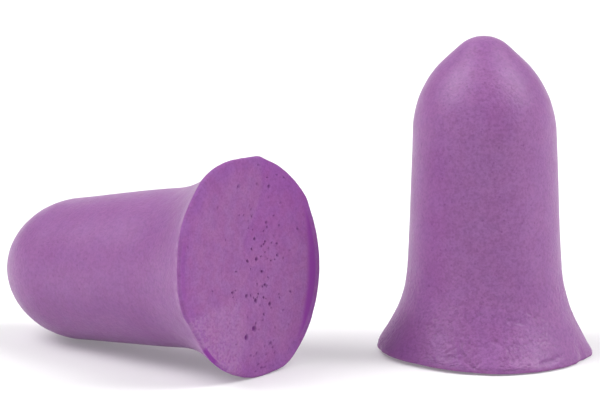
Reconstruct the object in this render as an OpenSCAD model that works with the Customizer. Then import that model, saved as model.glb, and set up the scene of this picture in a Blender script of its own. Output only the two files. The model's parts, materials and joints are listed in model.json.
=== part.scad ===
// A pair of bell-shaped foam ear plugs: one stands on its cut face, the other lies on its side.
// Each plug is one solid moulding of slow-recovery foam, turned about its own axis.
// Units are millimetres, +Z is up, and the origin is the centre of the pair's footprint.

/* [Plug] */
// Length from the cut face to the tip of the nose
plug_len = 24; // [20:0.5:28]
// Widest diameter of the flared rim round the cut face
rim_d = 16.3; // [15:0.1:18]
// Diameter of the shaft halfway along its taper
shaft_d = 11.4; // [10:0.1:12.4]
// How far the shaft's side leans in towards the nose, in degrees
shaft_taper = 2.4; // [1:0.1:4]

/* [Flare] */
// How far the flare's side leans out from the axis, in degrees
flare_angle = 30; // [24:1:34]
// Radius of the hollow curve between flare and shaft
flare_blend_r = 11; // [6:0.2:12]
// Radius of the small round on the rim's sheared edge
rim_edge_r = 0.2; // [0.1:0.05:0.4]

/* [Nose] */
// How far the nose's side leans in from the axis, in degrees
nose_angle = 47; // [42:0.5:52]
// Radius of the shoulder between shaft and nose
shoulder_r = 7.7; // [5:0.1:8]
// Radius of the ball that ends the nose
tip_r = 2.7; // [2:0.1:3.2]

/* [Placing] */
// How far the lying plug's cut face is to the left of the standing plug, centre to centre
lying_left = 17.7; // [16:0.1:30]
// How far the lying plug's cut face is in front of the standing plug, centre to centre
lying_front = 8.3; // [6:0.1:12]
// Heading of the lying plug's nose, anticlockwise from +X as seen from above, in degrees
lying_heading = 141.5; // [120:0.5:175]

/* [Hidden] */

foam_colour = [0.63, 0.42, 0.67];
turn_fn = 120;
arc_chord = 0.4; // longest straight step along an arc
arc_least = 6; // fewest straight steps along an arc
shaft_mid = 11; // height above the cut face where shaft_d is measured
rim_r = rim_d / 2;
shaft_r = shaft_d / 2;
// The nose's straight side meets the axis this far above the cut face, past the ball.
nose_apex = plug_len - tip_r + tip_r / sin(nose_angle);

// A point of the outline is [distance from the axis, height above the cut face].

// A direction that leans in towards the axis by an angle as it rises.
function leaning(angle) = [-sin(angle), cos(angle)];

// Where the line from p leaning in by a crosses the line from q leaning in by b.
function crossing(p, a, q, b) =
    let (u = leaning(a), v = leaning(b), w = q - p)
    p + u * (w[0] * v[1] - w[1] * v[0]) / (u[0] * v[1] - u[1] * v[0]);

// How many straight steps an arc takes.
function arc_steps(r, turn) = max(arc_least, ceil(r * abs(turn) * PI / 180 / arc_chord));

// The arc of radius r that rounds the corner b between the lines to a and to c.
function rounding(a, b, c, r) =
    let (
        u = (a - b) / norm(a - b),
        v = (c - b) / norm(c - b),
        half = acos(u * v) / 2,
        middle = b + (u + v) / norm(u + v) * r / sin(half),
        start = b + u * r / tan(half) - middle,
        end = b + v * r / tan(half) - middle,
        from = atan2(start[1], start[0]),
        turn = atan2(
            start[0] * end[1] - start[1] * end[0],
            start[0] * end[0] + start[1] * end[1]
        ),
        steps = arc_steps(r, turn)
    )
    [for (i = [0 : steps])
        middle + r * [cos(from + turn * i / steps), sin(from + turn * i / steps)]];

// Corners of the outline before they are rounded. The rim's corner is sharp here, so it
// lies a little outside the widest point of its round.
face_centre = [0, 0];
rim_corner = [rim_r + rim_edge_r * (1 / tan(45 - flare_angle / 2) - 1), 0];
waist_corner = crossing(rim_corner, flare_angle, [shaft_r, shaft_mid], shaft_taper);
shoulder_corner = crossing([shaft_r, shaft_mid], shaft_taper, [0, nose_apex], nose_angle);
shaft_middle = (waist_corner + shoulder_corner) / 2;

rim_edge = rounding(face_centre, rim_corner, waist_corner, rim_edge_r);
waist = rounding(rim_corner, waist_corner, shaft_middle, flare_blend_r);
shoulder = rounding(shaft_middle, shoulder_corner, [0, nose_apex], shoulder_r);
tip_steps = arc_steps(tip_r, 90 - nose_angle);
tip = [for (i = [0 : tip_steps])
    let (angle = nose_angle + (90 - nose_angle) * i / tip_steps)
    [i == tip_steps ? 0 : tip_r * cos(angle), plug_len - tip_r + tip_r * sin(angle)]];
outline = concat([face_centre], rim_edge, waist, shoulder, tip);

// The lying plug rests on its rim and its shoulder, so its nose dips by the slope of the
// line that touches both.
lying_dip = min([for (p = shoulder)
    max([for (q = rim_edge) atan2(q[0] - p[0], p[1] - q[1])])]);
lying_axis = [
    cos(lying_heading) * cos(lying_dip),
    sin(lying_heading) * cos(lying_dip),
    -sin(lying_dip)
];

// How far the lying plug reaches from the centre of its cut face, in a direction of length 1.
function lying_reach(direction) =
    let (along = lying_axis * direction, across = sqrt(1 - along * along))
    max([for (p = outline) p[1] * along + p[0] * across]);

lying_height = lying_reach([0, 0, -1]);
lying_place = [-lying_left, -lying_front, lying_height];

// The middle of the footprint, measured from the centre of the standing plug's base
widest = max([for (p = outline) p[0]]);
low_x = min(-widest, lying_place[0] - lying_reach([-1, 0, 0]));
high_x = max(widest, lying_place[0] + lying_reach([1, 0, 0]));
low_y = min(-widest, lying_place[1] - lying_reach([0, -1, 0]));
high_y = max(widest, lying_place[1] + lying_reach([0, 1, 0]));
footprint_middle = [(low_x + high_x) / 2, (low_y + high_y) / 2, 0];

// One foam moulding, cut face down and nose up
module ear_plug() {
    color(foam_colour)
        rotate_extrude($fn = turn_fn)
            polygon(outline);
}

module standing_plug() {
    translate(-footprint_middle)
        ear_plug();
}

module lying_plug() {
    translate(lying_place - footprint_middle)
        rotate([0, 90 + lying_dip, lying_heading])
            ear_plug();
}

standing_plug();
lying_plug();
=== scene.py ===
"""A pair of bell-shaped foam ear plugs, one standing and one lying, on a pale floor.

Each plug is one closed skin of moulded foam with a cut face at its wide end. Its outline comes
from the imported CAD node, and the small unevenness of soft foam is laid over it in mesh code.
Lengths in this script are millimetres unless a name says otherwise; the meshes are in metres.
"""

import json
import math

import bmesh
import bpy
import numpy as np
from mathutils import Matrix, Vector, noise


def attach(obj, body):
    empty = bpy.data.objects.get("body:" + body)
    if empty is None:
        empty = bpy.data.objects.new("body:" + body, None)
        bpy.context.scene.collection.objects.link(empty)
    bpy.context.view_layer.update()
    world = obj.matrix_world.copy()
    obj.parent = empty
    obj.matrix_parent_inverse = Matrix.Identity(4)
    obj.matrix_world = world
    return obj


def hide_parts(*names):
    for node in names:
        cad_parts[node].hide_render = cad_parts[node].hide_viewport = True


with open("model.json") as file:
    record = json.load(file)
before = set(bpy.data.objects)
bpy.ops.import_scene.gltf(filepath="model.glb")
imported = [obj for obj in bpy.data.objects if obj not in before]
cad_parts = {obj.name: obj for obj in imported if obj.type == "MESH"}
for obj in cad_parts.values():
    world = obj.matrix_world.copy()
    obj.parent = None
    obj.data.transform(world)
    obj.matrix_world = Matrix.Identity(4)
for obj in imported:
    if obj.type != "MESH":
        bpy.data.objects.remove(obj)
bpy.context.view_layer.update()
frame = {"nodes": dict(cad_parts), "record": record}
MOUNTS = {m["name"]: m for m in frame["record"]["mounts"]}

MM = 0.001

# ---------------------------------------------------------------- the plugs' own shapes

# A place on a plug is an angle and a height. The angle goes round the axis from the plug's "right"
# direction, towards its back for the standing plug, and clockwise on the cut face, as it is looked
# at, for the lying one. The height is from the cut face towards the nose. A place on the cut face
# is right and back (down, on the lying plug's face) of its centre. Degrees and millimetres.
STANDING = {
    "piece": "standing_foam_plug",
    "node": "standing_plug",
    "body": "standing",
    "mount": "standing_base",
    "right": (1, 0, 0),
    "seed": 11,
    "segments": 512,
    "face_step": 0.5,  # between rings on the cut face, on the flare and on the rest of the skin
    "flare_step": 0.11,
    "skin_step": 0.3,
    "lean": (-1.2, 1.75),  # how far the nose leans right and back
    "cut_tilt": (0.94, 0.0),  # how far the cut face's right and back are lower than square
    "shaft_swell": -0.06,  # how far the shaft, and then the rim, stand out of the outline
    "rim_swell": -0.025,
    "crinkle": 0.06,  # how high the flare's fine crinkles stand
    "grain": (-93, 1.0, 0.42),  # a side where the skin is coarsest, most and least
    "deeper": 0.0,  # how far the skin's colour is turned towards its deepest tone
    # painted shade, where the skin is deeper still: angle, width, the heights between which that
    # fades out, how much; here on the lower left of the flare, beside the lying plug
    "painted_shade_patches": ((-155, 30, 1.0, 4.5, 0.65),),
    "rim_uneven": 0.04,  # how far the rim wanders in and out at random
    "rim_contrast": 0.0,  # how much the cut face deepens towards the rim, and how strong the painted highlight is on the skin just outside the cut
    # corners and hollows of the rim: angle, width, how far out
    "rim_marks": (
        (-165, 15, 0.20),  # the left corner hangs out
        (-130, 15, -0.15),  # and is hollow beside it
        (-85, 18, 0.25),  # the front comes forward
        (-40, 22, -0.15),  # and falls back to its right
        (-25, 4, -0.15),  # a notch
        (-10, 6, 0.10),  # the corner next to it
        (10, 10, -0.25),  # the right end is drawn in
    ),
    # lines pressed into the skin: angle and height at each end, width, depth
    "creases": (
        (-109, 1.95, -107, 1.35, 0.14, 0.10),
        (-107, 1.35, -104, 0.75, 0.16, 0.13),
        (-104, 0.75, -99, 0.35, 0.17, 0.16),
        (-61, 0.62, -50, 0.66, 0.13, 0.12),
        (-56, 0.55, -49, 0.85, 0.11, 0.10),
        (-99, 0.25, -70, 0.22, 0.10, 0.07),
        (-87.5, 2.15, -85.5, 2.1, 0.16, 0.10),
        (-98, 3.9, -97, 3.9, 0.16, 0.08),
        (-118, 4.5, -112, 4.4, 0.12, 0.06),
        (-83, 4.5, -75, 4.6, 0.12, 0.05),
        (-78, 3.6, -68, 3.4, 0.12, 0.05),
    ),
    "bevel": None,
    "rim_shade_strips": (),
    "fold": None,
    "ledge": None,
    "pits": (),
    "pit_clusters": (),
}
LYING = {
    "piece": "lying_foam_plug",
    "node": "lying_plug",
    "body": "lying",
    "mount": "lying_base",
    "right": (0.62, 0.78, 0),
    "seed": 29,
    "segments": 400,
    "face_step": 0.08,
    "flare_step": 0.2,
    "skin_step": 0.35,
    "lean": (-0.27, -0.72),
    "cut_tilt": (0.77, -1.13),
    "shaft_swell": 0.12,
    "rim_swell": -0.03,
    "crinkle": 0.006,
    "grain": (190, 0.68, 0.40),
    "deeper": 0.20,
    # painted shade along the underside
    "painted_shade_patches": ((100, 30, 20, 24, 0.75),),
    "rim_uneven": 0.015,
    "rim_contrast": 1.0,
    "rim_marks": (
        (-150, 15, 0.25),  # a broad corner at the left
        (-120, 15, 0.25),  # and one at the top left
        (-90, 10, -0.10),  # flatter along the top
        (-75, 4, 0.10),  # a small corner next to that
        (-30, 4, 0.10),  # and one at the upper right
        (10, 30, 0.15),  # the right side swells
        (70, 8, 0.15),  # a corner at the foot
        (150, 10, -0.20),  # drawn in at the lower left
    ),
    "creases": (),
    # a part of the cut face that falls away, with painted shade in the groove along it: towards which
    # angle, where it starts, how much that edge bows outwards at its ends, slope
    "bevel": (13, 6.5, -0.03, 0.21),
    # painted shade along the rim: angle, half its length in degrees, from and to how far inside the
    # rim (beyond it when negative), strength
    "rim_shade_strips": (
        (135, 6, -0.4, 0.15, 1.0),
        (127, 6, -1.0, -0.1, 1.0),
        (186, 15, 0.0, 0.6, 0.3),
    ),
    # a fold down the face, with painted shade to its right: how far right it runs at its top and at
    # its foot, where it turns from one to the other, and the slope to its left
    "fold": (1.9, -1.05, -6.2, -1.0, 0.035),
    # a low swelling towards the lower left, with painted light on it: its right and upper limits,
    # height
    "ledge": (-1.6, 1.9, 0.12),
    "pits": (  # the largest opened bubbles: right, down, radius
        (-0.5, 4.5, 0.24),
        (-1.5, 5.0, 0.24),
        (0.5, -0.5, 0.16),
        (1.0, 0.5, 0.12),
        (-1.0, 2.0, 0.15),
        (0.0, 2.5, 0.16),
        (1.5, 3.0, 0.16),
        (-0.5, -0.5, 0.12),
        (0.5, -2.0, 0.12),
        (2.0, -3.0, 0.10),
        (4.0, 2.5, 0.12),
        (5.5, -2.0, 0.10),
        (-2.5, 1.5, 0.10),
        (-7.0, -2.5, 0.08),
    ),
    # clusters of small ones: right, down, reach across and down, how many
    "pit_clusters": (
        (1.9, -0.9, 0.9, 0.8, 16),
        (0.6, 1.7, 1.5, 0.9, 18),
        (1.6, 4.2, 1.4, 0.7, 10),
        (0.6, 6.8, 1.8, 0.5, 14),
        (3.0, -5.0, 1.4, 1.6, 14),
        (0.0, 0.0, 4.5, 4.5, 26),
    ),
}

# ---------------------------------------------------------------- outline and rings

RIM_STEP = 0.045  # between rings round the rim's edge
RIM_BAND = 0.5  # how far these close rings reach on both sides of the edge
FLARE_REACH = 8.0  # how far up the outline the flare's finer rings go


def plug_axes(spec):
    """The plug's foot in metres, its right and back directions, and its axis towards the nose."""
    mount = MOUNTS[spec["mount"]]
    axis = -np.array(mount["axis"], float)
    axis /= np.linalg.norm(axis)
    right = np.array(spec["right"], float)
    right -= (right @ axis) * axis
    right /= np.linalg.norm(right)
    return np.array(mount["pos_m"], float), right, np.cross(axis, right), axis


def cad_outline(spec):
    """The CAD node's outline from the face's edge to the nose's tip, as (radius, height)."""
    foot, _, _, axis = plug_axes(spec)
    mesh = frame["nodes"][spec["node"]].data
    co = np.empty(len(mesh.vertices) * 3)
    mesh.vertices.foreach_get("co", co)
    rel = (co.reshape(-1, 3) - foot) / MM
    height = rel @ axis
    radius = np.linalg.norm(rel - np.outer(height, axis), axis=1)
    points = np.unique(np.round(np.c_[height, radius], 2), axis=0)
    points = points[(points[:, 0] > 0.005) | (points[:, 1] > 1)]
    kept = [points[0]]
    for point in points[1:]:
        if np.linalg.norm(point - kept[-1]) > 0.03:
            kept.append(point)
    return np.array(kept)[:, ::-1]


def smooth_through(points, distances, wanted):
    """A smooth line through the points, by cubic pieces with averaged slopes, at wanted distances."""
    span = np.diff(distances)
    slope = np.diff(points, axis=0) / span[:, None]
    tangent = np.empty_like(points)
    tangent[0], tangent[-1] = slope[0], slope[-1]
    before, after = span[:-1, None], span[1:, None]
    tangent[1:-1] = (slope[:-1] * after + slope[1:] * before) / (before + after)
    k = np.clip(np.searchsorted(distances, wanted, side="right") - 1, 0, len(span) - 1)
    h = span[k][:, None]
    t = ((wanted - distances[k]) / span[k])[:, None]
    return (
        points[k] * (2 * t**3 - 3 * t**2 + 1)
        + tangent[k] * h * (t**3 - 2 * t**2 + t)
        + points[k + 1] * (3 * t**2 - 2 * t**3)
        + tangent[k + 1] * h * (t**3 - t**2)
    )


def steps(start, end, step):
    """Even steps of about the given size from start up to, but not at, the end."""
    return np.linspace(start, end, max(1, round((end - start) / step)), endpoint=False)


def rings(spec):
    """Every ring's radius and height from the face's centre to the tip, and where the rim is.

    After them come the number of rings on the flat face, the number up to the widest ring, and the
    radius there.
    """
    outline = cad_outline(spec)
    outline[-1, 0] = 0.0
    length = np.r_[0, np.cumsum(np.linalg.norm(np.diff(outline, axis=0), axis=1))]
    widest = int(np.argmax(outline[:, 0]))
    flare_from = length[widest] + RIM_BAND
    skin_at = np.r_[
        steps(0, flare_from, RIM_STEP),
        steps(flare_from, FLARE_REACH, spec["flare_step"]),
        steps(FLARE_REACH, length[-1], spec["skin_step"]),
        length[-1],
    ]
    skin = smooth_through(outline, length, skin_at)
    skin[-1, 0] = 0.0
    face_edge = outline[0, 0]
    face = np.r_[
        steps(0, face_edge - RIM_BAND, spec["face_step"]),
        steps(face_edge - RIM_BAND, face_edge, RIM_STEP),
    ]
    radius = np.r_[face, skin[:, 0]]
    height = np.r_[np.zeros(len(face)), skin[:, 1]]
    cut_rings = len(face) + int(np.sum(length[widest] > skin_at))
    return radius, height, len(face), cut_rings, outline[widest, 0]


# ---------------------------------------------------------------- unevenness

PIT_DEPTH = 0.16  # at an opened bubble's middle
HIGHLIGHT_LINE_AT = 0.45  # how far above the cut the skin's painted highlight runs
HIGHLIGHT_LINE_WIDTH = 0.3
CUT_TILT_REACH = 8.0  # how far up the plug the cut's tilt is felt


def noise_at(points, size, seed, octaves=1):
    """Smooth noise from about -1 to 1 at each point, with bumps of the given size."""
    offset = Vector((seed * 3.7, seed * 1.3, -seed * 2.1))
    made = (
        noise.fractal(Vector(p) / size + offset, 1.0, 2.0, octaves, noise_basis="PERLIN_ORIGINAL")
        for p in points
    )
    return np.fromiter(made, float, len(points))


def bell(x, width):
    """1 at zero, falling smoothly to about a third at the width."""
    return np.exp(-((x / width) ** 2))


def fade(x, start, end):
    """1 before start, 0 after end, smooth between."""
    t = np.clip((x - start) / (end - start), 0, 1)
    return 1 - t * t * (3 - 2 * t)


def soft_ramp(x, softness):
    """0 before zero and x after it, with a rounded corner."""
    return 0.5 * (x + np.sqrt(x**2 + softness**2))


def turn_between(angle, centre):
    """How far an angle is from a centre, the short way round, in degrees."""
    return (angle - centre + 180) % 360 - 180


def radial_offset(spec, r, deg, h, rim_r, still):
    """How far the skin stands out of its even outline."""
    seed = spec["seed"]
    out = spec["shaft_swell"] * bell(h - 9, 6) * (r > 3)
    out += spec["rim_swell"] * fade(h, 0, 4) * (r / rim_r)
    out += 0.05 * noise_at(still, 5.0, seed) * np.clip(r / 4, 0, 1)
    near_rim = fade(h, 0, 2.2) * np.clip(r / rim_r, 0, 1) ** 6
    uneven = 2 * noise_at(still, 2.6, seed + 1)
    uneven += 1.8 * fade(h, 0, 0.7) * noise_at(still, 0.7, seed + 2)
    out += spec["rim_uneven"] * near_rim * uneven
    for centre, width, rise in spec["rim_marks"]:
        out += rise * near_rim * bell(turn_between(deg, centre), width)
    return out


def skin_relief(spec, r, deg, h, still):
    """Fine crinkles of the flare's skin and the creases pressed into it, as a radial offset."""
    seed = spec["seed"]
    on_flare = fade(h, 4.0, 9.0) * fade(-h, -0.5, -0.1)
    patches = np.clip(0.6 + 0.8 * noise_at(still, 2.4, seed + 6), 0.15, 1)
    waves = noise_at(still * (1, 1, 2.2), 0.28, seed + 3, 2)
    relief = spec["crinkle"] * on_flare * patches * (1 - 2.2 * np.abs(waves))
    pressed = np.zeros(len(h))
    for a0, h0, a1, h1, width, depth in spec["creases"]:
        line = depth * line_bell(deg, h, r, (a0, h0), (a1, h1), width)
        pressed = np.maximum(pressed, line)
    return relief - pressed


def line_bell(deg, h, r, start, end, width):
    """A bell across a line on the skin from one angle and height to another, blunt at its ends."""
    x = np.radians(turn_between(deg, start[0])) * r
    y = h - start[1]
    dx = math.radians(end[0] - start[0]) * r
    dy = end[1] - start[1]
    along = np.clip((x * dx + y * dy) / (dx * dx + dy * dy + 1e-9), 0, 1)
    gap = np.hypot(x - along * dx, y - along * dy)
    return bell(gap, width) * (abs(turn_between(deg, start[0])) < 60)


def pit_places(spec, rim_r):
    """Where the cut has opened a bubble: right, down and radius of each, most from seeded draws."""
    draw = np.random.default_rng(spec["seed"])
    places = list(spec["pits"])
    for x0, y0, reach_x, reach_y, count in spec["pit_clusters"]:
        for _ in range(count):
            x, y = draw.normal(x0, reach_x), draw.normal(y0, reach_y)
            size = 0.045 + 0.03 * draw.random() + 0.05 * draw.random() ** 4
            if math.hypot(x, y) < rim_r - 0.4:
                places.append((x, y, size))
    return places


def opened_pits(spec, x, y, on_face, rim_r):
    """How deep in a pit each point is, from 0 outside to 1 at its middle."""
    pit = np.zeros(len(x))
    for px, py, size in pit_places(spec, rim_r):
        near = on_face & (abs(x - px) < size) & (abs(y - py) < size)
        gap = np.hypot(x[near] - px, y[near] - py) / size
        pit[near] = np.maximum(pit[near], np.clip(1.25 * (1 - gap**2), 0, 1))
    return pit


def rim_shade_strips(spec, deg, inside):
    """How much painted shade lies along the rim, at each angle and distance inside it."""
    dense = np.zeros(len(deg))
    for angle, reach, start, end, strength in spec["rim_shade_strips"]:
        along = fade(abs(turn_between(deg, angle)), reach - 2, reach + 2)
        across = fade(start - inside, -0.05, 0.05) * fade(inside - end, -0.1, 0.1)
        dense = np.maximum(dense, strength * along * across)
    return dense


def face_relief(spec, x, y, inside):
    """How far the cut face lies behind a plane, how much painted shade lies along its rim, and where
    light and shade are painted on it.

    That last goes from 0, painted shade to the right of the fold, through 0.5, to 1, painted light on
    the ledge.
    """
    behind = np.zeros(len(x))
    painted_rim_shade = np.zeros(len(x))
    facet_light_and_shade = np.full(len(x), 0.5)
    if spec["bevel"]:
        towards, start, bow, slope = spec["bevel"]
        a = math.radians(towards)
        across = -x * math.sin(a) + y * math.cos(a)
        past = x * math.cos(a) + y * math.sin(a) - start - bow * across**2
        behind += slope * soft_ramp(past, 0.1)
        # painted shade in the groove where the face falls away
        painted_rim_shade += (1 - 0.9 * fade(inside, 0.55, 0.85)) * fade(-past, -0.25, 0.45)
    if spec["fold"]:
        top_x, foot_x, turn_from, turn_to, slope = spec["fold"]
        left_of = foot_x + (top_x - foot_x) * fade(y, turn_from, turn_to) - x
        reach = fade(y, -4, 3)
        behind -= slope * soft_ramp(left_of, 0.2) * reach
        # painted shade to the right of the fold
        facet_light_and_shade -= 0.22 * reach * fade(left_of, -0.4, 0.3)
    if spec["ledge"]:
        right_end, top, rise = spec["ledge"]
        in_ledge = fade(x - right_end + 0.35 * np.clip(y - 4.5, 0, None), -0.9, 0.9)
        in_ledge *= 1 - fade(y - top - 0.12 * (right_end - x), -0.3, 0.5)
        behind -= rise * in_ledge
        # painted light on the ledge
        facet_light_and_shade += 0.40 * in_ledge
    return behind, painted_rim_shade, np.clip(facet_light_and_shade, 0, 1)


def coarseness(spec, deg, h):
    """How strong the skin's grain is: strongest on two opposite sides and towards the rim."""
    towards, most, least = spec["grain"]
    facing = np.abs(np.cos(np.radians(turn_between(deg, towards)))) ** 1.5
    return (least + (most - least) * facing) * (1 + 0.12 * fade(h, 2, 8))


def painted_edge_highlight(spec, h, still):
    """How strong a painted highlight is, in an uneven line on the skin just outside the cut."""
    uneven = np.clip(0.5 + 1.4 * noise_at(still, 0.5, spec["seed"] + 7), 0.1, 1)
    return 0.55 * bell(h - HIGHLIGHT_LINE_AT, HIGHLIGHT_LINE_WIDTH) * uneven


def depth_and_painted_shade(spec, deg, h):
    """How far the skin's colour is deepened, as a whole and in patches of painted shade."""
    deeper = np.full(len(h), spec["deeper"])
    for angle, width, start, end, more in spec["painted_shade_patches"]:
        deeper += more * bell(turn_between(deg, angle), width) * fade(h, start, end)
    return deeper


def shape_plug(spec):
    """Vertex places in the plug's own axes, what the materials need of each, and the ring counts."""
    radius, height, face_rings, cut_rings, rim_r = rings(spec)
    segments = spec["segments"]
    even_r = np.repeat(radius, segments)
    h = np.repeat(height, segments)
    deg = np.tile(np.linspace(0, 360, segments, endpoint=False), len(radius))
    cos, sin = np.cos(np.radians(deg)), np.sin(np.radians(deg))
    on_face = np.repeat(np.arange(len(radius)) < face_rings, segments)
    still = np.c_[even_r * cos, even_r * sin, h]
    seed = spec["seed"]

    r = even_r + radial_offset(spec, even_r, deg, h, rim_r, still)
    r += np.where(on_face, 0, skin_relief(spec, even_r, deg, h, still))
    r = np.where(even_r < 1e-6, 0, np.maximum(r, 0))
    x, y = r * cos, r * sin

    inside = np.where(on_face, rim_r - even_r, -h)
    painted_highlight_line = painted_edge_highlight(spec, h, still)
    behind, painted_rim_shade, facet_light_and_shade = face_relief(spec, x, y, inside)
    # painted shade from the groove and along the rim, kept to the cut's edge
    painted_rim_shade = np.maximum(painted_rim_shade * (h < 0.25), rim_shade_strips(spec, deg, inside))
    sink = behind * fade(h, 0, 2.5) * (even_r > 0)
    sink += on_face * (1 - fade(inside, 0.2, 1.0)) * 0.04 * noise_at(still, 2.2, seed + 4, 2)
    sink += on_face * 0.010 * noise_at(still, 0.45, seed + 5, 2)
    pit = opened_pits(spec, x, y, on_face, rim_r)
    sink += PIT_DEPTH * pit
    centre = even_r < 1e-6
    sink[centre] = np.where(h[centre] < 1, sink[segments : 2 * segments].mean(), 0)
    h = h + sink

    # An oblique cut and a lean.
    cut = fade(h, 0, CUT_TILT_REACH) ** 2
    right_tilt, back_tilt = (math.tan(math.radians(t)) for t in spec["cut_tilt"])
    h = h - cut * (right_tilt * x + back_tilt * y)
    right_lean, back_lean = (math.radians(t) for t in spec["lean"])
    x = x + right_lean * h
    y = y + back_lean * h
    facts = {
        "pit": pit,
        "painted_rim_shade": painted_rim_shade,
        "near_rim": spec["rim_contrast"] * fade(inside, 0.3, 2.6),
        "deeper": depth_and_painted_shade(spec, deg, h),
        "facet_light_and_shade": facet_light_and_shade,
        "painted_edge_highlight": spec["rim_contrast"] * painted_highlight_line,
        "coarseness": coarseness(spec, deg, h),
    }
    return np.c_[x, y, h], facts, cut_rings, len(radius)


# ---------------------------------------------------------------- meshes


def grid_faces(rows, segments):
    """Quads between successive rings, a fan round each pole, and the ring that each starts from."""
    ring = np.arange(segments)
    after = (ring + 1) % segments
    quads = []
    for i in range(1, rows - 2):
        a, b = i * segments, (i + 1) * segments
        quads.append(np.c_[a + ring, a + after, b + after, b + ring])
    quads = np.concatenate(quads)
    first = np.c_[np.zeros(segments, int), segments + after, segments + ring]
    last_ring = (rows - 2) * segments
    last = np.c_[last_ring + ring, last_ring + after, np.full(segments, (rows - 1) * segments)]
    faces = [*quads.tolist(), *first.tolist(), *last.tolist()]
    rows_of = np.r_[
        np.repeat(np.arange(1, rows - 2), segments), np.zeros(segments), np.full(segments, rows)
    ]
    return faces, rows_of


def drop_unused(mesh):
    """Removes the poles' spare vertices, which no face uses."""
    bm = bmesh.new()
    bm.from_mesh(mesh)
    bmesh.ops.delete(bm, geom=[v for v in bm.verts if not v.link_faces], context="VERTS")
    bm.to_mesh(mesh)
    bm.free()


def make_plug(spec, skin, cut):
    """Makes one plug as a closed mesh in the row frame, named as its piece and hung from its body."""
    local, facts, cut_rings, rows = shape_plug(spec)
    foot, right, back, axis = plug_axes(spec)
    faces, rows_of = grid_faces(rows, spec["segments"])
    world = foot + (local @ np.array([right, back, axis])) * MM
    world[:, 2] -= world[:, 2].min()
    mesh = bpy.data.meshes.new(spec["piece"])
    mesh.from_pydata(world.tolist(), [], faces)
    for name, values in facts.items():
        attribute = mesh.attributes.new(name, "FLOAT", "POINT")
        attribute.data.foreach_set("value", values.astype(np.float32))
    place = mesh.attributes.new("place", "FLOAT_VECTOR", "POINT")
    place.data.foreach_set("vector", local.astype(np.float32).ravel())
    mesh.materials.append(skin)
    mesh.materials.append(cut)
    mesh.polygons.foreach_set("material_index", (rows_of < cut_rings).astype(np.int32))
    mesh.polygons.foreach_set("use_smooth", np.ones(len(mesh.polygons), bool))
    drop_unused(mesh)
    plug = bpy.data.objects.new(spec["piece"], mesh)
    bpy.context.scene.collection.objects.link(plug)
    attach(plug, spec["body"])
    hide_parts(spec["node"])


# ---------------------------------------------------------------- materials


class Nodes:
    """A new material's node tree, with short ways to add to it. Sizes are in millimetres."""

    def __init__(self, name):
        self.material = bpy.data.materials.new(name)
        self.material.use_nodes = True
        self.tree = self.material.node_tree
        self.shader = self.tree.nodes["Principled BSDF"]

    def add(self, kind, **inputs):
        """A node of this kind; each input is a value or another node's output."""
        node = self.tree.nodes.new("ShaderNode" + kind)
        for name, value in inputs.items():
            self.put(node, name.replace("_", " "), value)
        return node

    def put(self, node, name, value):
        if isinstance(value, bpy.types.NodeSocket):
            self.tree.links.new(value, node.inputs[name])
        else:
            node.inputs[name].default_value = value

    def attribute(self, name):
        node = self.tree.nodes.new("ShaderNodeAttribute")
        node.attribute_name = name
        return node.outputs["Vector"] if name == "place" else node.outputs["Fac"]

    def noise(self, size, detail=2.0, roughness=0.5):
        """Noise from 0 to 1 with bumps of this size in the plug's own axes."""
        node = self.add(
            "TexNoise",
            Vector=self.attribute("place"),
            Scale=1 / size,
            Detail=detail,
            Roughness=roughness,
        )
        return node.outputs["Fac"]

    def pores(self, size):
        """Distance to scattered points this far apart, in units of that distance."""
        node = self.add("TexVoronoi", Vector=self.attribute("place"), Scale=1 / size)
        return node.outputs["Distance"]

    def span(self, value, low, high, to_low=0.0, to_high=1.0):
        """The value's range from low to high spread over another range, smoothly."""
        node = self.add("MapRange")
        node.interpolation_type = "SMOOTHSTEP"
        node.clamp = True
        self.put(node, "Value", value)
        self.put(node, "From Min", low)
        self.put(node, "From Max", high)
        self.put(node, "To Min", to_low)
        self.put(node, "To Max", to_high)
        return node.outputs["Result"]

    def math(self, operation, a, b):
        node = self.tree.nodes.new("ShaderNodeMath")
        node.operation = operation
        self.put(node, 0, a)
        self.put(node, 1, b)
        return node.outputs["Value"]

    def mix(self, factor, a, b, blend="MIX"):
        """Colour a turned to colour b by the factor."""
        node = self.tree.nodes.new("ShaderNodeMix")
        node.data_type = "RGBA"
        node.blend_type = blend
        self.put(node, "Factor", factor)
        for name, value in (("A", a), ("B", b)):
            socket = next(i for i in node.inputs if i.name == name and i.type == "RGBA")
            if isinstance(value, bpy.types.NodeSocket):
                self.tree.links.new(value, socket)
            else:
                socket.default_value = value
        return next(o for o in node.outputs if o.type == "RGBA")

    def bump(self, height, depth):
        """A normal from a height from 0 to 1, this many millimetres deep."""
        node = self.add("Bump", Strength=1.0, Distance=depth * MM, Height=height)
        return node.outputs["Normal"]


# Colours are linear light. RIM_VIOLET, WARM, COOL and PORE_TINT multiply the colour under them.
FOAM = (0.284, 0.103, 0.310, 1.0)
FOAM_PALE = (0.304, 0.118, 0.330, 1.0)
# the foam's deepest colour, used for its grain and also for painted shade
FOAM_DEEP_AND_SHADE = (0.210, 0.061, 0.240, 1.0)
# a painted highlight, for the line where the rim's lip catches the light
PAINTED_EDGE_HIGHLIGHT = (0.400, 0.205, 0.420, 1.0)
CUT_FOAM = (0.296, 0.116, 0.316, 1.0)
CUT_PALE = (0.315, 0.132, 0.331, 1.0)
# denser foam towards the rim, and also painted shade to the right of the fold
CUT_DENSE_AND_SHADE = (0.282, 0.073, 0.322, 1.0)
# painted light, for the ledge
CUT_LIT = (0.338, 0.156, 0.355, 1.0)
RIM_VIOLET = (0.96, 0.96, 1.015, 1.0)
WARM = (1.015, 0.99, 0.98, 1.0)
COOL = (0.98, 1.01, 1.025, 1.0)
PORE_TINT = (0.62, 0.52, 0.62, 1.0)
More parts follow.
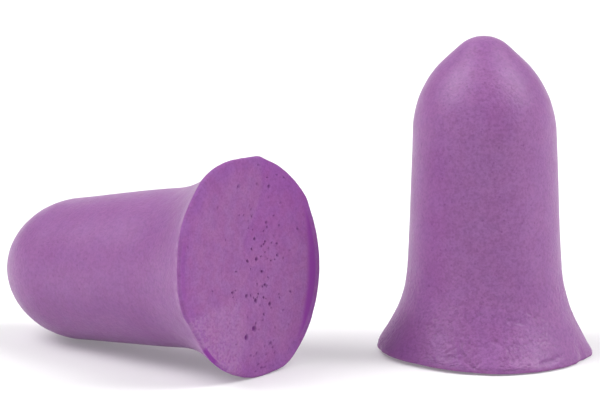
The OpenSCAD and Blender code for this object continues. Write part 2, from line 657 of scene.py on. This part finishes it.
# painted shade, for the groove and slivers along the rim
PAINTED_RIM_SHADE = (0.230, 0.047, 0.282, 1.0)
# painted shade in the pits
PAINTED_PIT_SHADE = (0.155, 0.036, 0.190, 1.0)
FLOOR_PALE = (0.74, 0.74, 0.74, 1.0)
WHITE = (1.0, 1.0, 1.0, 1.0)


def foam_skin():
    """The moulded outside: pale violet, matt, softly lit at its edges, with a fine dark grain."""
    n = Nodes("foam_skin")
    coarseness = n.attribute("coarseness")
    blotch = n.span(n.noise(3.2, 3), 0.35, 0.65)
    fine = n.noise(0.20, 2, 0.6)
    mottle = n.span(n.noise(0.42, 2, 0.55), 0.60, 0.36, 0.0, 0.30)
    speck = n.math(
        "MULTIPLY", n.span(n.pores(0.34), 0.10, 0.30, 0.6, 0.0), n.span(n.noise(0.5), 0.4, 0.6)
    )
    grain = n.span(fine, 0.62, 0.32, 0.0, 0.38)
    colour = n.mix(blotch, FOAM, FOAM_PALE)
    # a deeper colour overall, and painted shade in patches
    colour = n.mix(n.attribute("deeper"), colour, FOAM_DEEP_AND_SHADE)
    hue = n.mix(n.span(n.noise(1.4, 2), 0.38, 0.62), COOL, WARM)
    colour = n.mix(0.5, colour, hue, "MULTIPLY")
    colour = n.mix(n.math("MULTIPLY", speck, coarseness), colour, FOAM_DEEP_AND_SHADE)
    colour = n.mix(n.span(n.pores(0.85), 0.06, 0.13, 0.6, 0.0), colour, FOAM_DEEP_AND_SHADE)
    colour = n.mix(n.math("MULTIPLY", grain, coarseness), colour, PORE_TINT, "MULTIPLY")
    colour = n.mix(n.math("MULTIPLY", mottle, coarseness), colour, PORE_TINT, "MULTIPLY")
    # painted highlight along the skin just outside the cut
    colour = n.mix(n.attribute("painted_edge_highlight"), colour, PAINTED_EDGE_HIGHLIGHT)
    # painted shade along the rim
    colour = n.mix(n.attribute("painted_rim_shade"), colour, PAINTED_RIM_SHADE)
    n.put(n.shader, "Base Color", colour)
    n.put(n.shader, "Roughness", n.span(n.noise(0.9), 0.3, 0.7, 0.38, 0.46))
    n.put(n.shader, "Specular IOR Level", 0.40)
    n.put(n.shader, "Sheen Weight", 0.09)
    n.put(n.shader, "Sheen Roughness", 0.3)
    n.put(n.shader, "Normal", n.bump(fine, 0.035))
    return n.material


def foam_cut():
    """The cut end: opened cells, duller than the skin, with painted shade in its pits, in a groove
    and in slivers along the rim, and painted light and shade beside its fold.
    """
    n = Nodes("foam_cut_face")
    blotch = n.span(n.noise(1.7, 3), 0.35, 0.65)
    grain = n.noise(0.18, 3, 0.6)
    coarse = n.noise(0.45, 2, 0.55)
    painted_rim_shade = n.attribute("painted_rim_shade")
    facet_light_and_shade = n.attribute("facet_light_and_shade")
    near_rim = n.attribute("near_rim")
    colour = n.mix(blotch, CUT_FOAM, CUT_PALE)
    colour = n.mix(n.math("MULTIPLY", near_rim, 0.30), colour, CUT_DENSE_AND_SHADE)
    colour = n.mix(n.span(near_rim, 0.72, 1, 0, 0.8), colour, RIM_VIOLET, "MULTIPLY")
    # painted shade to the right of the fold
    colour = n.mix(n.span(facet_light_and_shade, 0.0, 0.5, 1.0, 0.0), colour, CUT_DENSE_AND_SHADE)
    # painted light on the ledge, in patches
    patchy = n.span(n.noise(0.24, 2), 0.38, 0.60, 0.25, 1.3)
    lit = n.math("MULTIPLY", n.span(facet_light_and_shade, 0.5, 1.0), patchy)
    colour = n.mix(lit, colour, CUT_LIT)
    hue = n.mix(n.span(n.noise(1.2, 2), 0.38, 0.62), COOL, WARM)
    colour = n.mix(1.0, colour, hue, "MULTIPLY")
    colour = n.mix(n.span(grain, 0.62, 0.32, 0.0, 0.30), colour, PORE_TINT, "MULTIPLY")
    colour = n.mix(n.span(coarse, 0.60, 0.36, 0.0, 0.20), colour, PORE_TINT, "MULTIPLY")
    # painted shade in the groove and along the rim
    colour = n.mix(painted_rim_shade, colour, PAINTED_RIM_SHADE)
    # painted shade in the pits
    colour = n.mix(n.attribute("pit"), colour, PAINTED_PIT_SHADE)
    n.put(n.shader, "Base Color", colour)
    n.put(n.shader, "Roughness", 0.6)
    n.put(n.shader, "Specular IOR Level", 0.05)
    n.put(n.shader, "Normal", n.bump(grain, 0.03))
    return n.material


def pale_floor():
    """A matt, nearly white floor with a faint light of its own."""
    n = Nodes("pale_floor")
    n.put(n.shader, "Base Color", FLOOR_PALE)
    n.put(n.shader, "Roughness", 0.9)
    n.put(n.shader, "Emission Color", WHITE)
    n.put(n.shader, "Emission Strength", FLOOR_GLOW)
    return n.material


# ---------------------------------------------------------------- camera and studio

# The camera's place and aim are measured from the standing plug's foot.
CAMERA_AIM = (-14.264, -0.308, 11.03)
CAMERA_ELEVATION = 10.84  # degrees above the floor
CAMERA_DISTANCE = 227.9
CAMERA_ROLL = 0.586  # degrees, turning the picture clockwise
CAMERA_LENS = 180.35
SENSOR = 36.0
FLOOR_HALF = 3000.0
FLOOR_GLOW = 0.18  # the floor is lit a little from below, as a light table is

# The studio is a white tent with a low white wall all round, which stands behind the floor's edge
# in every view. The wall fades out about its top, in degrees above the floor.
WALL_TOP = 5.0
WALL_FADE = 2.0
WALL_STRENGTH = 1.0

# Each side of the tent is a soft lobe of light from far away. Azimuth is from the camera's side,
# positive to the right; elevation is above the floor, both in degrees; then how narrow the lobe is,
# and how bright.
TENT = (
    ("left_softbox", -83, 45, 30.0, 9.0),
    ("right_softbox", 83, 45, 30.0, 8.5),
    ("left_upper", -83, 62, 30.0, 4.25),
    ("right_upper", 83, 62, 30.0, 3.5),
    ("back", 180, 8, 4.0, 0.75),
    ("right", 90, 12, 2.0, 0.4),
    ("left_front", -45, 18, 6.0, 0.65),
    ("back_upper", 180, 45, 8.0, 0.5),
    ("front_top", 0, 50, 8.0, 0.1),
)


def make_camera():
    """The photograph's view: a long lens, a little above the floor."""
    foot = np.array(MOUNTS["standing_base"]["pos_m"]) / MM
    e = math.radians(CAMERA_ELEVATION)
    ahead = np.array([0, math.cos(e), -math.sin(e)])
    data = bpy.data.cameras.new("camera")
    data.lens = CAMERA_LENS
    data.sensor_width = SENSOR
    data.clip_start = 0.01
    data.clip_end = 50
    camera = bpy.data.objects.new("camera", data)
    bpy.context.scene.collection.objects.link(camera)
    camera.location = (foot + np.array(CAMERA_AIM) - CAMERA_DISTANCE * ahead) * MM
    look = Vector(ahead).to_track_quat("-Z", "Y").to_matrix()
    roll = Matrix.Rotation(math.radians(CAMERA_ROLL), 3, "Z")
    camera.rotation_euler = (look @ roll).to_euler()
    bpy.context.scene.camera = camera


def make_tent():
    """The world's light: the tent's lobes and the low white wall, added together."""
    world = bpy.data.worlds.new("tent")
    bpy.context.scene.world = world
    world.use_nodes = True
    nodes, links = world.node_tree.nodes, world.node_tree.links
    direction = nodes.new("ShaderNodeTexCoord").outputs["Generated"]
    level = nodes.new("ShaderNodeSeparateXYZ")
    links.new(direction, level.inputs["Vector"])
    horizon = nodes.new("ShaderNodeMapRange")
    horizon.label = "wall"
    horizon.interpolation_type = "SMOOTHSTEP"
    horizon.inputs["From Min"].default_value = math.sin(math.radians(WALL_TOP - WALL_FADE))
    horizon.inputs["From Max"].default_value = math.sin(math.radians(WALL_TOP + WALL_FADE))
    horizon.inputs["To Min"].default_value = WALL_STRENGTH
    horizon.inputs["To Max"].default_value = 0.0
    links.new(level.outputs["Z"], horizon.inputs["Value"])
    total = horizon.outputs["Result"]
    for name, azimuth, elevation, narrowness, strength in TENT:
        a, e = math.radians(azimuth), math.radians(elevation)
        towards = nodes.new("ShaderNodeVectorMath")
        towards.operation = "DOT_PRODUCT"
        towards.label = name
        towards.inputs[1].default_value = (
            math.sin(a) * math.cos(e),
            -math.cos(a) * math.cos(e),
            math.sin(e),
        )
        links.new(direction, towards.inputs[0])
        facing = nodes.new("ShaderNodeMath")
        facing.operation = "MAXIMUM"
        facing.inputs[1].default_value = 0.0
        links.new(towards.outputs["Value"], facing.inputs[0])
        lobe = nodes.new("ShaderNodeMath")
        lobe.operation = "POWER"
        lobe.inputs[1].default_value = narrowness
        links.new(facing.outputs["Value"], lobe.inputs[0])
        scaled = nodes.new("ShaderNodeMath")
        scaled.operation = "MULTIPLY_ADD"
        scaled.inputs[1].default_value = strength
        links.new(lobe.outputs["Value"], scaled.inputs[0])
        links.new(total, scaled.inputs[2])
        total = scaled.outputs["Value"]
    background = nodes["Background"]
    background.inputs["Color"].default_value = WHITE
    links.new(total, background.inputs["Strength"])


def make_floor():
    """A pale floor that reaches past the edge of every view."""
    half = FLOOR_HALF * MM
    corners = [(-half, -half, 0), (half, -half, 0), (half, half, 0), (-half, half, 0)]
    mesh = bpy.data.meshes.new("floor")
    mesh.from_pydata(corners, [], [(0, 1, 2, 3)])
    mesh.materials.append(pale_floor())
    floor = bpy.data.objects.new("floor", mesh)
    bpy.context.scene.collection.objects.link(floor)


make_camera()
skin_material = foam_skin()
cut_material = foam_cut()
for plug_spec in (STANDING, LYING):
    make_plug(plug_spec, skin_material, cut_material)
make_tent()
make_floor()
bpy.context.scene.view_settings.view_transform = "Standard"
